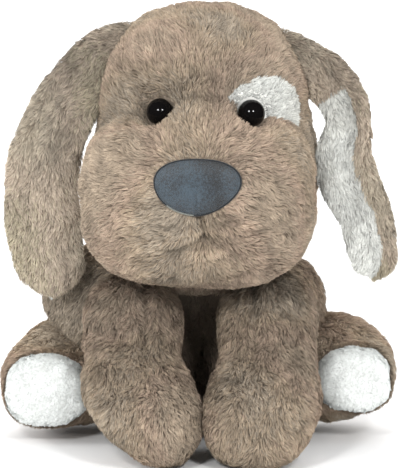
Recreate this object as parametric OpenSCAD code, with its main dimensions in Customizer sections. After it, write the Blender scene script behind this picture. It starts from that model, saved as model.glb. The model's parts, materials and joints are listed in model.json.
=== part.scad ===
/* [Fabric] */
// Thickness of the plush: backing cloth and pile together
plush_t = 4; // [3:0.5:5]
// Room between a fabric cover and the stuffing in it
fill_gap = 0.3; // [0.2:0.1:0.5]
// Room between two parts that move against each other
play = 0.6; // [0.4:0.1:1]

/* [Torso] */
// Width of the torso at the hips
torso_w = 158; // [150:1:160]
// Depth of the torso, chest to back
torso_d = 124; // [118:1:128]
// Height of the widest part of the torso above the seat
torso_mid_z = 50; // [46:1:52]
// Radius of the ball of stuffing in the neck
neck_r = 32; // [30:1:34]

/* [Head] */
// Width of the skull, ear seam to ear seam
skull_w = 120; // [114:1:124]
// Height of the top of the head above the seat
head_top_z = 272; // [268:1:276]
// Width of the muzzle across both cheeks
muzzle_w = 143; // [136:1:148]
// Height of the muzzle, chin to brow crease
muzzle_h = 108; // [104:1:110]
// Angle that the head is turned to one side as it is sewn on
head_set = 5; // [3:1:6]
// Distance that the head is sewn on to one side
head_shift = 7; // [5:1:8]
// Diameter of an eye
eye_d = 16.5; // [14:0.5:18]
// Width of the padded nose
nose_w = 52; // [46:1:56]
// Width of the light patch round one eye
patch_w = 48; // [42:1:52]

/* [Ears] */
// Thickness of an ear, both layers together
ear_t = 14; // [12:1:16]
// Height of the ear hinge above the seat
ear_hinge_z = 240; // [238:1:242]

/* [Legs] */
// Width of a front leg
front_leg_w = 60; // [56:1:62]
// Width of a front foot
front_foot_w = 68; // [64:1:68]
// Diameter of the shoulder ball of a front leg
shoulder_d = 54; // [52:1:55]
// Diameter of a thigh, seen from the side
thigh_d = 76; // [72:1:76]
// Diameter of a white sole
sole_d = 44; // [40:1:44]

/* [Tail] */
// Diameter of the tail at its root
tail_d = 24; // [20:1:26]
// Length of the tail from its root to its tip
tail_len = 42; // [36:1:50]

/* [Hidden] */

// The toy faces -Y, so its own left side is towards +X
RIGHT = -1;
LEFT = 1;
facets = 22;
huge = 400;
fill_in = -(plush_t + fill_gap);

taupe = [0.65, 0.57, 0.5];
cream = [0.95, 0.95, 0.93];
batting = [0.9, 0.9, 0.88];
slate = [0.35, 0.4, 0.44];

// Torso: a wide seat that narrows to the shoulders
torso_at = [0, 18, torso_mid_z];
torso_r = [torso_w / 2, torso_d / 2, torso_mid_z + 18];
shoulders_at = [0, 4, 92];
shoulders_r = [56, 46, 32];
pellets_at = [0, 18, 24];
pellets_r = [35, 34, 15];
belly_plane_y = -4;

// Neck: the head turns and nods about this point
neck_at = [0, -10, 126];

// Head: skull, jaw and muzzle, three rounded forms
skull_r = [skull_w / 2, 62, 62];
skull_at = [2, -22, head_top_z - skull_r[2]];
jaw_at = [0, -25, 165];
jaw_r = [64, 52, 45];
muzzle_r = [muzzle_w / 2, 53, muzzle_h / 2];
muzzle_at = [-2, -62, 107 + muzzle_r[2]];
brow_z = 214;
muzzle_plane_y = -52;
gusset_w = 44;

// Face: eyes, light patch and nose
eye_r = eye_d / 2;
eye_at = [28, -76, 214];
eye_shift = 2;
eye_sink = 2;
eye_tilt = 24;
eye_pitch = 8;
shank_r = 2;
shank_len = 13;
washer_r = 8;
washer_t = 1.6;
patch_shift = [8, 3];
nose_r = [nose_w / 2, 9, 16.5];
nose_at = [0, -109, 175];
nose_cover_t = 1.5;

// Ears: hinge, middle and tip of each, right then left
ear_hinge_x = [-58, 71.5];
ear_hinge_y = -26;
ear_root_r = 6;
ear_root_len = 34;
ear_middle_at = [[-96, -33, 170], [92.5, -33, 180]];
ear_middle_r = [[22, ear_t / 2, 36], [17, ear_t / 2, 34]];
ear_tip_at = [[-93, -35, 122], [102.5, -34, 130]];
ear_tip_r = [[23, ear_t / 2, 29], [16, ear_t / 2, 28]];

// Front legs: shoulder, wrist and foot
shoulder_at = [42, -38, 80];
wrist_at = [40, -67, 52];
wrist_r = [front_leg_w / 2, 27, 24];
front_foot_at = [34.6, -79, 26];
front_foot_r = [front_foot_w / 2, 33, 26];
front_seam_x = 39;

// Hind legs: thigh and foot, with the sole to the front
hip_at = [80, 18, thigh_d / 2 + 1];
thigh_r = [36, thigh_d / 2];
hind_foot_at = [95, -4, 37];
hind_foot_r = 23.5;
sole_y = -34;

// Tail: a ball in the back, and a tail that points up clear of the back
tail_at = [0, 78, 36];
tail_base_at = [0, 89.6, 39];
tail_base_r = 9.3;
tail_tip_at = [0, 97, 36 + tail_len];
tail_tip_r = 8;

// The middle of the toy's depth, which the origin is under
box_middle_y = -6.76;

// A point on the toy's other side, where side is RIGHT
function mirrored(side, point) = [side * point.x, point.y, point.z];

// A point part of the way from one point to another
function mix(from, to, along) = from + (to - from) * along;

// An ellipsoid as a smooth shell of flat facets, grown all round by grow
module blob(centre, radii, grow = 0) {
    hull()
        translate(centre)
            scale([radii[0] + grow, radii[1] + grow, radii[2] + grow])
                sphere(r = 1, $fn = facets);
}

// A true sphere, which the joints turn in
module ball(centre, radius) {
    translate(centre)
        sphere(r = radius, $fn = 64);
}

// An oval spun about X, grown all round by grow
module spun_oval(centre, half_len, radius, grow = 0) {
    steps = 12;
    outline = [for (i = [0:steps]) let (a = 180 * i / steps)
        [(radius + grow) * sin(a), (half_len + grow) * cos(a)]];
    translate(centre)
        rotate([0, 90, 0])
            rotate_extrude($fn = 64)
                polygon(outline);
}

// Everything on one side of a plane across X, Y or Z
module half_space(axis, from, upward) {
    place = [for (i = [0:2]) i == axis ? from + (upward ? 0 : -2 * huge) : -huge];
    translate(place)
        cube(2 * huge);
}

// A shape turned and moved over with the head as it is sewn on
module head_frame() {
    translate(neck_at)
        rotate([0, 0, -head_set])
            translate([head_shift, 0, 0] - neck_at)
                children();
}

// The whole toy, moved so that the origin is under its middle
module placed() {
    translate([0, -box_middle_y, 0])
        children();
}

// ---- forms: each is a solid of the sewn part, grown all round by grow ----

module torso_solid(grow) {
    intersection() {
        union() {
            blob(torso_at, torso_r, grow);
            blob(shoulders_at, shoulders_r, grow);
        }
        half_space(2, -grow, true);
    }
}

// Room in the torso for the neck, the legs and the tail
module torso_sockets(room) {
    ball(neck_at, neck_r + room);
    for (side = [RIGHT, LEFT]) {
        ball(mirrored(side, shoulder_at), shoulder_d / 2 + room);
        for (along = [1 / 3, 2 / 3, 1])
            ball(mirrored(side, mix(shoulder_at, wrist_at, along)), wrist_r[0] + room);
        spun_oval(mirrored(side, hip_at), thigh_r[0], thigh_r[1], room);
    }
    ball(tail_at, tail_d / 2 + room);
}

module torso_form(grow) {
    difference() {
        torso_solid(grow);
        torso_sockets(play - grow);
    }
}

module torso_shell() {
    difference() {
        torso_form(0);
        torso_form(-plush_t);
    }
}

module head_solid(grow) {
    head_frame() {
        blob(skull_at, skull_r, grow);
        blob(jaw_at, jaw_r, grow);
        blob(muzzle_at, muzzle_r, grow);
    }
}

module head_form(grow) {
    difference() {
        head_solid(grow);
        ball(neck_at, neck_r + play - grow);
    }
}

module head_shell() {
    difference() {
        head_form(0);
        head_form(-plush_t);
        for (side = [RIGHT, LEFT])
            eye_frame(side) {
                cylinder(h = 2 * shank_len, r = shank_r, center = true);
                cylinder(h = shank_len, r = eye_r + 0.2);
            }
    }
}

module ear_form(i, grow) {
    root_r = ear_root_r + grow;
    root_half = ear_root_len / 2 - ear_root_r;
    hull() {
        for (end = [-1, 1])
            translate([ear_hinge_x[i], ear_hinge_y + end * root_half, ear_hinge_z])
                sphere(r = root_r, $fn = facets);
        blob(ear_middle_at[i], ear_middle_r[i], grow);
        blob(ear_tip_at[i], ear_tip_r[i], grow);
    }
}

module front_leg_form(side, grow) {
    ball(mirrored(side, shoulder_at), shoulder_d / 2 + grow);
    hull() {
        translate(mirrored(side, shoulder_at))
            sphere(r = shoulder_d / 2 - 0.5 + grow, $fn = facets);
        blob(mirrored(side, wrist_at), wrist_r, grow);
    }
    blob(mirrored(side, front_foot_at), front_foot_r, grow);
}

module hind_leg_form(side, grow) {
    spun_oval(mirrored(side, hip_at), thigh_r[0], thigh_r[1], grow);
    hull() {
        translate(mirrored(side, hind_foot_at))
            sphere(r = hind_foot_r + grow, $fn = facets);
        translate([side * hind_foot_at[0], sole_y - grow, hind_foot_at[2]])
            rotate([-90, 0, 0])
                cylinder(h = 2, r = sole_d / 2 + grow, $fn = facets);
    }
}

module tail_form(grow) {
    ball(tail_at, tail_d / 2 + grow);
    hull() {
        translate(tail_base_at)
            sphere(r = tail_base_r + grow, $fn = facets);
        translate(tail_tip_at)
            sphere(r = tail_tip_r + grow, $fn = facets);
    }
}

// ---- torso ----

module back_panel(side) {
    color(taupe)
        intersection() {
            torso_shell();
            half_space(2, plush_t, true);
            half_space(1, belly_plane_y, true);
            half_space(0, 0, side == LEFT);
        }
}

module belly_panel() {
    color(taupe)
        intersection() {
            torso_shell();
            half_space(2, plush_t, true);
            half_space(1, belly_plane_y, false);
        }
}

module seat_panel() {
    color(taupe)
        intersection() {
            torso_form(0);
            half_space(2, plush_t, false);
        }
}

module torso_stuffing() {
    color(batting)
        difference() {
            torso_form(fill_in);
            blob(pellets_at, pellets_r, fill_gap);
        }
}

module pellet_bag() {
    color(batting)
        blob(pellets_at, pellets_r);
}

module neck_stuffing() {
    color(batting)
        ball(neck_at, neck_r);
}

// ---- head ----

// The place and direction of an eye, with Z out of the face
module eye_frame(side) {
    head_frame()
        translate(mirrored(side, eye_at) + [eye_shift, 0, 0])
            rotate([90 - eye_pitch, 0, side * eye_tilt])
                translate([0, 0, -eye_sink])
                    children();
}

module patch_cutter() {
    eye_frame(LEFT)
        translate([patch_shift[0], patch_shift[1], 0])
            cylinder(h = 60, r = patch_w / 2, center = true);
}

module muzzle_zone() {
    head_frame()
        intersection() {
            half_space(1, muzzle_plane_y, false);
            half_space(2, brow_z, false);
        }
}

module gusset_zone() {
    head_frame()
        translate([skull_at[0] - gusset_w / 2, -huge, -huge])
            cube([gusset_w, 2 * huge, 2 * huge]);
}

module side_zone(side) {
    head_frame()
        half_space(0, skull_at[0], side == LEFT);
}

module head_side(side) {
    color(taupe)
        difference() {
            intersection() {
                head_shell();
                side_zone(side);
            }
            gusset_zone();
            muzzle_zone();
            if (side == LEFT)
                patch_cutter();
        }
}

module head_gusset() {
    color(taupe)
        difference() {
            intersection() {
                head_shell();
                gusset_zone();
            }
            muzzle_zone();
            patch_cutter();
        }
}

module muzzle_panel() {
    color(taupe)
        intersection() {
            head_shell();
            muzzle_zone();
        }
}

module eye_patch() {
    color(cream)
        difference() {
            intersection() {
                head_shell();
                patch_cutter();
            }
            muzzle_zone();
        }
}

module head_stuffing() {
    color(batting)
        difference() {
            head_form(fill_in);
            for (side = [RIGHT, LEFT])
                eye_frame(side)
                    translate([0, 0, -2 * shank_len])
                        cylinder(h = 4 * shank_len, r = washer_r + fill_gap);
        }
}

module nose_solid(grow) {
    head_frame()
        blob(nose_at, nose_r, grow);
}

module nose_cover() {
    color(slate)
        difference() {
            nose_solid(0);
            nose_solid(-nose_cover_t);
            head_solid(0);
        }
}

module nose_filling() {
    color(batting)
        difference() {
            nose_solid(-nose_cover_t - fill_gap);
            head_solid(fill_gap);
        }
}

// A domed safety eye: its dome lies on the plush and its shank goes through
module eye(side) {
    color([0.03, 0.03, 0.03])
        eye_frame(side) {
            intersection() {
                sphere(r = eye_r, $fn = 64);
                translate([0, 0, huge / 2])
                    cube(huge, center = true);
            }
            translate([0, 0, -shank_len])
                cylinder(h = shank_len + 1, r = shank_r - 0.1);
        }
}

module eye_washer(side) {
    color([0.85, 0.85, 0.82])
        eye_frame(side)
            translate([0, 0, -shank_len + 1])
                difference() {
                    cylinder(h = washer_t, r = washer_r);
                    translate([0, 0, -1])
                        cylinder(h = washer_t + 2, r = shank_r);
                }
}

// ---- ears ----

module ear_layer(i, front, shade) {
    color(shade)
        intersection() {
            ear_form(i, 0);
            half_space(1, ear_middle_at[i][1], !front);
        }
}

// ---- legs ----

module front_leg_cover(side, outer) {
    color(taupe)
        intersection() {
            difference() {
                front_leg_form(side, 0);
                front_leg_form(side, -plush_t);
            }
            half_space(0, side * front_seam_x, (side == LEFT) == outer);
        }
}

module front_leg_stuffing(side) {
    color(batting)
        front_leg_form(side, fill_in);
}

module hind_leg_cover(side) {
    color(taupe)
        difference() {
            hind_leg_form(side, 0);
            hind_leg_form(side, -plush_t);
            half_space(1, sole_y + plush_t, false);
        }
}

module hind_leg_sole(side) {
    color(cream)
        intersection() {
            hind_leg_form(side, 0);
            half_space(1, sole_y + plush_t, false);
        }
}

module hind_leg_stuffing(side) {
    color(batting)
        hind_leg_form(side, fill_in);
}

// ---- tail ----

module tail_cover() {
    color(taupe)
        difference() {
            tail_form(0);
            tail_form(-plush_t);
        }
}

module tail_stuffing() {
    color(batting)
        tail_form(fill_in);
}

placed() back_panel(RIGHT);  // back_panel_right
placed() back_panel(LEFT);  // back_panel_left
placed() belly_panel();
placed() seat_panel();
placed() torso_stuffing();
placed() pellet_bag();
placed() neck_stuffing();
placed() head_side(RIGHT);  // head_side_right
placed() head_side(LEFT);  // head_side_left
placed() head_gusset();
placed() muzzle_panel();
placed() eye_patch();
placed() head_stuffing();
placed() nose_cover();
placed() nose_filling();
placed() eye(RIGHT);  // eye_right
placed() eye(LEFT);  // eye_left
placed() eye_washer(RIGHT);  // eye_washer_right
placed() eye_washer(LEFT);  // eye_washer_left
placed() ear_layer(0, true, taupe);  // ear_right_outer
placed() ear_layer(0, false, cream);  // ear_right_lining
placed() ear_layer(1, false, taupe);  // ear_left_outer
placed() ear_layer(1, true, cream);  // ear_left_lining
placed() front_leg_cover(RIGHT, true);  // front_leg_right_outer
placed() front_leg_cover(RIGHT, false);  // front_leg_right_inner
placed() front_leg_stuffing(RIGHT);  // front_leg_right_stuffing
placed() front_leg_cover(LEFT, true);  // front_leg_left_outer
placed() front_leg_cover(LEFT, false);  // front_leg_left_inner
placed() front_leg_stuffing(LEFT);  // front_leg_left_stuffing
placed() hind_leg_cover(RIGHT);  // hind_leg_right_cover
placed() hind_leg_sole(RIGHT);  // hind_leg_right_sole
placed() hind_leg_stuffing(RIGHT);  // hind_leg_right_stuffing
placed() hind_leg_cover(LEFT);  // hind_leg_left_cover
placed() hind_leg_sole(LEFT);  // hind_leg_left_sole
placed() hind_leg_stuffing(LEFT);  // hind_leg_left_stuffing
placed() tail_cover();
placed() tail_stuffing();
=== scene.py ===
"""The looks of a seated plush dog: sewn covers with a combed pile, padding, face, light and camera."""

import json
import math
from functools import partial

import bmesh
import bpy
import numpy as np
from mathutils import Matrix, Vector


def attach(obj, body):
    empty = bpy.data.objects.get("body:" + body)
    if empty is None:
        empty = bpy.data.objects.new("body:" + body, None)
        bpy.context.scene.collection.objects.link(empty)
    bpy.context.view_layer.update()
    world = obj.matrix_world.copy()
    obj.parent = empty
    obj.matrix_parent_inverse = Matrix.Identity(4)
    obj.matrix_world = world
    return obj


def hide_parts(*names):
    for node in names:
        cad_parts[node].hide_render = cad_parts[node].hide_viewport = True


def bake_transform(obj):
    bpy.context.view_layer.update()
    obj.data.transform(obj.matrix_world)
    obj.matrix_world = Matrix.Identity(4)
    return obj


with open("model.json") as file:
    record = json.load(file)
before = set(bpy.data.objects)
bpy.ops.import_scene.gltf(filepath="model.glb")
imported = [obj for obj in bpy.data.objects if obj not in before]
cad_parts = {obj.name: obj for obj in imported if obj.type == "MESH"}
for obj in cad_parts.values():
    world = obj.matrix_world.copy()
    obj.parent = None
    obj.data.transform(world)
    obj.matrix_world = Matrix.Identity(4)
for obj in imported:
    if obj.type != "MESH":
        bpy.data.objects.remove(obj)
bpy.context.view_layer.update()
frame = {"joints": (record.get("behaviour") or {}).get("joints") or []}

MM = 0.001
LEFT, RIGHT = 1, -1  # the toy's own sides: it faces -Y, so its left is +X
SIDES = (LEFT, RIGHT)
SIDE_NAME = {LEFT: "left", RIGHT: "right"}
UP = np.array([0.0, 0.0, 1.0])


def joint_at(name):
    """Where a joint is, in mm."""
    return np.array(next(j["pos_m"] for j in frame["joints"] if j["name"] == name)) / MM


NECK = joint_at("head_turn")
TAIL = joint_at("tail_wag")
SHOULDER = {s: joint_at(f"front_leg_{SIDE_NAME[s]}_swing") for s in SIDES}
HIP = {s: joint_at(f"hind_leg_{SIDE_NAME[s]}_lift") for s in SIDES}
EAR = {s: joint_at(f"ear_{SIDE_NAME[s]}_lift") for s in SIDES}

FLOOR_GAP = 0.1  # the lowest that pile reaches
PILE_INSET = 3.2  # from the tips of the pile down to the cloth
PILE_LENGTH = 6.0
PILE_WIDTH, PILE_PER_MM2 = ((0.43, 2.8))
LEANS = (32, 58, 76)  # angle from upright of each third of a tuft, in degrees
LEAN_SPREAD = 9.0
LOCK = 3.2  # size of a lock of pile
LOCK_PULL = 0.5  # how far the tips of a lock are drawn together, as a share
LOCK_REACH = (0.12, 0.5, 1.0)  # share of that pull at the end of each third of a tuft
LOCK_PRIMES = np.array([73856093, 19349663, 83492791])  # they turn a lock's place into its number
BLADE_WIDTHS = (1.3, 1.1, 0.75)  # of a tuft at its root and at each joint, as a share of its width
BLADE_CORNERS = np.array([0, 1, 3, 2, 2, 3, 5, 4, 4, 5, 6])  # of its two quads and its tip
BLADE_SIZES = (4, 4, 3)
PILE_MOST = 38000  # tufts in one piece
BURIED = 5.0  # pile this deep inside a neighbour is left out
SWIRL = 0.45  # how much the pile wanders from the way it is combed
STRAY = 0.26  # how much each tuft strays by itself

# ---- smooth solids ----
# Each takes points in mm and gives a distance, negative inside.


def pillow(points, centre, radii, outline, depth):
    """A rounded form. A power of 2 is round: above that it is boxier, from the front or from the side."""
    p = points - np.array(centre, float)
    x, y, z = np.abs(p / np.array(radii, float)).T
    flat = (x**outline + z**outline) ** (1 / outline)
    k = (flat**depth + y**depth) ** (1 / depth)
    return np.linalg.norm(p, axis=1) * (1 - 1 / np.maximum(k, 1e-6))


def oval(points, centre, radii, power=2.0):
    """A ball with three radii. A power above 2 makes it boxier."""
    return pillow(points, centre, radii, power, power)


def taper(points, start, end, start_r=0.0, end_r=0.0):
    """A round bar between two points. With no radii it gives the plain distance from a line."""
    start, end = np.array(start, float), np.array(end, float)
    along = end - start
    t = np.clip((points - start) @ along / (along @ along), 0, 1)
    near = start + t[:, None] * along
    return np.linalg.norm(points - near, axis=1) - (start_r + (end_r - start_r) * t)


def melt(a, b, width):
    """The union of two solids, rounded over width where they meet."""
    h = np.maximum(width - np.abs(a - b), 0) / width
    return np.minimum(a, b) - h * h * width / 4


def waves(points, size, seed):
    """Smooth noise between about -1 and 1, with bumps about size mm apart."""
    rng = np.random.default_rng(seed)
    total = np.zeros(len(points))
    for _ in range(6):
        way = rng.normal(size=3)
        way /= np.linalg.norm(way)
        pitch = 2 * math.pi / size * rng.uniform(0.7, 1.4)
        total += np.sin(points @ way * pitch + rng.uniform(0, 2 * math.pi))
    return total / 3


def bell(distance, width):
    """1 at no distance, falling smoothly to 0."""
    return np.exp(-((distance / width) ** 2))


def circle(count):
    """Angles at even steps round a circle."""
    return np.linspace(0, 2 * math.pi, count, endpoint=False)


def unit(v):
    return v / np.maximum(np.linalg.norm(v, axis=-1, keepdims=True), 1e-9)


# ---- head ----
# Places in the head are measured from the neck joint, the way that the head faces.

HEAD_SET = math.radians(5)  # the head is sewn on turned to one side
HEAD_SHIFT = np.array([7.0, 0, 0])  # and to the toy's left
HEAD_COS, HEAD_SIN = math.cos(HEAD_SET), math.sin(HEAD_SET)
HEAD_TURN = np.array([(HEAD_COS, -HEAD_SIN, 0), (HEAD_SIN, HEAD_COS, 0), (0, 0, 1)])
SKULL = ((-4, -12, 82.4), (63.5, 62, 63))
JAW = ((0, -15, 39), (64, 52, 45))
MUZZLE = ((-3.5, -52, 35), (70.5, 54, 54))
BRIDGE = ((0, -62, 74), (30, 22, 22))
EYE_AT = {LEFT: np.array([30.0, -66, 88]), RIGHT: np.array([-26.0, -66, 88])}
EYE_R = 8.25
EYE_OUT = {s: np.array([s * 0.4, -0.9, 0.14]) for s in SIDES}  # which way it looks
EYE_SUNK = 2.0
SOCKET_R = {LEFT: 11.2, RIGHT: 12.2}  # the hollow that an eye sits in
SOCKET_AHEAD = 5.5
PATCH_SHIFT = 1.5
PATCH_HALF = 22.0
PATCH_HIGH = 19.5
PATCH_POINT = 1.7  # 1 would be a straight-sided point
GUSSET_HALF = 22.0  # half the width of the panel over the forehead and skull
NOSE_AT = np.array([0.5, -99.0, 52.0])
NOSE_HALF = 25.7
NOSE_UP, NOSE_DOWN = 13.6, 19.0
MOUTH_AT = np.array([4.0, -98.0, 21.0])
MOUTH_SPREAD = (20.0, -11.0)  # out and down to each corner of the mouth
FACE_FRONT = MUZZLE[0][1]  # what is ahead of this belongs to the face
AWAY = 99.0  # stands for a distance too great to matter


def to_head(points):
    """Points as measured from the neck, facing the way that the head faces."""
    return (points - NECK) @ HEAD_TURN.T - HEAD_SHIFT


def from_head(local):
    return (local + HEAD_SHIFT) @ HEAD_TURN + NECK


def skull_distance(local):
    return melt(oval(local, *SKULL, power=2.25), oval(local, *JAW), 30)


def muzzle_distance(local):
    return melt(pillow(local, *MUZZLE, outline=3.0, depth=2.5), oval(local, *BRIDGE), 24)


def eye_ball(side, ahead=0.0):
    return EYE_AT[side] + EYE_OUT[side] * (ahead - EYE_SUNK)


def head_distance(points):
    local = to_head(points)
    head = melt(skull_distance(local), muzzle_distance(local), 6)
    for side in SIDES:
        socket = np.linalg.norm(local - eye_ball(side, SOCKET_AHEAD), axis=1) - SOCKET_R[side] + PILE_INSET
        head = -melt(-head, socket, 5)
    return head


def mouth_distance(local):
    """Distance from the pulled thread of the mouth: down from the nose, then out to both sides."""
    flat = local * [1, 0, 1]
    nose_foot = NOSE_AT * [1, 0, 1] - [0, 0, NOSE_DOWN - 2]
    dimple = MOUTH_AT * [1, 0, 1]
    lines = [taper(flat, nose_foot, dimple) + 0.8, np.linalg.norm(flat - dimple, axis=1)]
    for side in SIDES:
        corner = dimple + [side * MOUTH_SPREAD[0], 0, MOUTH_SPREAD[1]]
        lines.append(taper(flat, dimple, corner) + 2.6)
    return np.where(local[:, 1] < FACE_FRONT, np.minimum.reduce(lines), AWAY)


def mouth_pucker(local):
    """The cloth puckers round the pulled thread: from -1 in the hollows to 1 on the lumps."""
    near = bell(np.linalg.norm((local - MOUTH_AT) * [0.6, 0, 1], axis=1), 22)
    return near * waves(local * [0.7, 0.5, 1.6], 13, 63) * (local[:, 1] < FACE_FRONT)


def nose_radius(angle):
    """How far the nose's edge is from its middle: flat on top, pointed below, fuller on its right."""
    c, s = np.cos(angle), np.sin(angle)
    power = np.where(s > 0, 2.3, np.where(c < 0, 1.95, 1.6))
    high = np.where(s > 0, NOSE_UP, NOSE_DOWN)
    return (np.abs(c / NOSE_HALF) ** power + np.abs(s / high) ** power) ** (-1 / power)


def nose_edge_distance(local):
    """How far outside the nose's edge a point is, seen from the front."""
    x, z = local[:, 0] - NOSE_AT[0], local[:, 2] - NOSE_AT[2]
    edge = nose_radius(np.arctan2(z, x))
    return np.where(local[:, 1] < FACE_FRONT, np.hypot(x, z) - edge, AWAY)


def head_seams(points):
    """How deep the head's cover is pulled in, in mm."""
    local = to_head(points)
    pull = 6.5 * bell(mouth_distance(local), 3.4) - 1.8 * mouth_pucker(local)
    gusset = np.abs(np.abs(local[:, 0] - SKULL[0][0]) - GUSSET_HALF)
    behind = skull_distance(local) < muzzle_distance(local)
    return pull + np.where(behind, 0.6 * bell(gusset, 2.5), 0)


def patch_zone(local):
    """The light patch round the left eye: a petal with its tip towards the other eye."""
    x = (local[:, 0] - EYE_AT[LEFT][0] - PATCH_SHIFT) / PATCH_HALF
    z = (local[:, 2] - EYE_AT[LEFT][2]) / PATCH_HIGH
    rounded = np.sqrt(np.clip(1 - x**2, 0, 1))
    pointed = 1 - np.clip(-x, 0, 1) ** PATCH_POINT
    top = np.where(x > 0, rounded, pointed)
    return (np.abs(x) < 1) & (z < top) & (z > -1.2) & (local[:, 1] < -20)


def head_panel(points):
    """The name of the panel that each point is on."""
    local = to_head(points)
    x = local[:, 0] - SKULL[0][0]
    panel = np.where(x > 0, "head_side_left", "head_side_right").astype(object)
    panel[np.abs(x) < GUSSET_HALF] = "head_gusset"
    panel[patch_zone(local)] = "eye_patch"
    front = muzzle_distance(local) < skull_distance(local)
    panel[front & (local[:, 1] < -30)] = "muzzle_panel"
    return panel


def head_painted_shading(points):
    """Painted light and shade: darker pile above the brow, in the creases, round the eyes, along the mouth
    and under the chin; lighter on the cheeks and on the mouth's puckered lumps.
    """
    local = to_head(points)
    brow = bell(local[:, 2] - 98, 14) * bell(local[:, 0], 34) * (local[:, 1] < -30)
    crease = bell(skull_distance(local) - muzzle_distance(local), 3.0) * (local[:, 1] < -20)
    chin = bell(local[:, 2] + 12, 12) * bell(local[:, 0], 34)
    cheek = bell(np.linalg.norm((local - [0, -90, 50]) * [0.6, 0, 1], axis=1), 34)
    mouth = bell(mouth_distance(local), 3.0)
    lightness_and_painted_shading = 0.5 * cheek - 1.7 * brow - 1.2 * crease - 1.7 * chin
    # painted light on the lumps that the mouth's thread puckers up, painted shade in their hollows and
    # along the thread
    lightness_and_painted_shading += 2.0 * mouth_pucker(local) - 2.5 * mouth
    # painted shade in the hollow round each eye
    for side in SIDES:
        rim = np.linalg.norm(local - eye_ball(side), axis=1) - EYE_R
        lightness_and_painted_shading -= 1.6 * bell(rim, 3.0)
    return lightness_and_painted_shading


def head_comb(points):
    """The pile is brushed away from the nose, sideways below it, and down at the back."""
    local = to_head(points)
    away = local - NOSE_AT
    below = np.clip(-away[:, 2] / 25, 0, 1)
    away[:, 2] *= 1 - 0.7 * below
    back = np.clip((local[:, 1] + 25) / 60, 0, 1)[:, None]
    down = np.sign(local) * [0.35, 0, 0] - UP
    return unit(unit(away) * (1 - back) + down * (0.15 + back)) @ HEAD_TURN


def head_pile(points):
    """Length of the pile, as a share: short at the eyes, none under them or under the nose."""
    local = to_head(points)
    share = np.ones(len(points))
    for side in SIDES:
        d = np.linalg.norm(local - eye_ball(side), axis=1) - EYE_R
        share *= np.clip(d / 10, 0, 1) * 0.75 + 0.25
        share[d < 1.5] = 0
    edge = nose_edge_distance(local)
    share *= np.clip((edge + 1.5) / 6, 0, 1) * 0.55 + 0.45
    share[edge < -0.5] = 0
    share *= 1 - 0.45 * bell(mouth_distance(local), 2.5)
    return share


# ---- torso, legs and tail ----

SEAT = NECK + [-4, 33.24, -76]
SEAT_R = (84, 56, 68)
SHOULDERS = NECK + [-12, 18.24, -38]
SHOULDERS_R = (85, 44, 38)
BELLY_HOLLOW = NECK + [0, -46.76, -76]
BELLY_HOLLOW_R = (34, 72, 46)
BELLY_SEAM_Y = NECK[1] + 6.04  # where the belly panel meets the back panels
SEAT_TOP = 5.0  # what is lower than this lies flat
SEAT_EDGE = 10.0  # width of the rounded edge of the seat


def torso_distance(points):
    body = melt(oval(points, SEAT, SEAT_R), oval(points, SHOULDERS, SHOULDERS_R), 26)
    body = -melt(-body, oval(points, BELLY_HOLLOW, BELLY_HOLLOW_R), 14)
    return -melt(-body, points[:, 2] - 0.5, SEAT_EDGE)


def torso_seams(points):
    back = bell(points[:, 0], 2.5) * (points[:, 1] > 0)
    return back + 0.8 * bell(points[:, 1] - BELLY_SEAM_Y, 2.5)


def torso_panel(points):
    panel = np.where(points[:, 0] > 0, "back_panel_left", "back_panel_right").astype(object)
    panel[points[:, 1] < BELLY_SEAM_Y] = "belly_panel"
    panel[points[:, 2] < SEAT_TOP] = "seat_panel"
    return panel


def torso_painted_shade(points):
    """Painted shade: much darker pile in the hollow between the front legs; a little darker pile
    everywhere else.
    """
    hollow = oval(points, BELLY_HOLLOW, BELLY_HOLLOW_R) < 8
    return np.where(hollow & (points[:, 1] < 30), -4.0, -0.5)


def torso_comb(points):
    out = (points - SEAT) * [1, 1, 0]
    return unit(unit(out) * 0.3 - UP)


def neck_distance(points):
    return oval(points, NECK + [1, 3, -3], (49, 45, 33))


SHOULDER_R, WRIST_R = 31.0, 29.5
PAW_R = (34, 33.5, 28)
PAW_POWER = 2.45  # 2 would be a plain oval
FOOT_INWARD = {LEFT: 7.0, RIGHT: 9.5}
FOOT_CUT = {LEFT: 12.0, RIGHT: -11.0}  # this far outwards, its underside starts to slant up
WRIST_CREASE = {LEFT: 1.0, RIGHT: 2.6}  # its depth
LEG_SEAM_X = SHOULDER[LEFT][0] - 9  # the seam down the front of the leg
LEG_SEAM_END = SHOULDER[LEFT][2] - 18  # how low that seam reaches
LEG_PANEL_X = SHOULDER[LEFT][0] - 3  # where the outer panel begins


def front_leg_distance(side, points):
    top = SHOULDER[side]
    wrist = top + [-side * 1, -27, -29]
    foot = top + [-side * FOOT_INWARD[side], -41, -54]
    leg = taper(points, top + [-side * 1.5, -3, 2], wrist, SHOULDER_R, WRIST_R)
    both = melt(leg, oval(points, foot, PAW_R, PAW_POWER), 24)
    slant = 0.6 * (side * (points[:, 0] - top[0]) - FOOT_CUT[side]) - 0.8 * points[:, 2]
    both = -melt(-both, -slant, 12)
    return np.maximum(both, 0.2 - points[:, 2])


def leg_seam(points, width):
    """How near a point is to the seam down the front of a leg: 1 on it."""
    high = np.clip((points[:, 2] - LEG_SEAM_END) / 12, 0, 1)
    return bell(np.abs(points[:, 0]) - LEG_SEAM_X, width) * high


def front_leg_seams(side, points):
    wrist = SHOULDER[side] + [-side * 4, -34, -4]
    x = side * points[:, 0]
    across = bell(points[:, 2] - wrist[2] - 0.1 * (x - 34), 3.0) * np.clip((x - 30) / 12, 0, 1)
    crease = WRIST_CREASE[side] * across * (points[:, 1] < wrist[1] + 14)
    return crease + 4.0 * leg_seam(points, 2.6)


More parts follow.
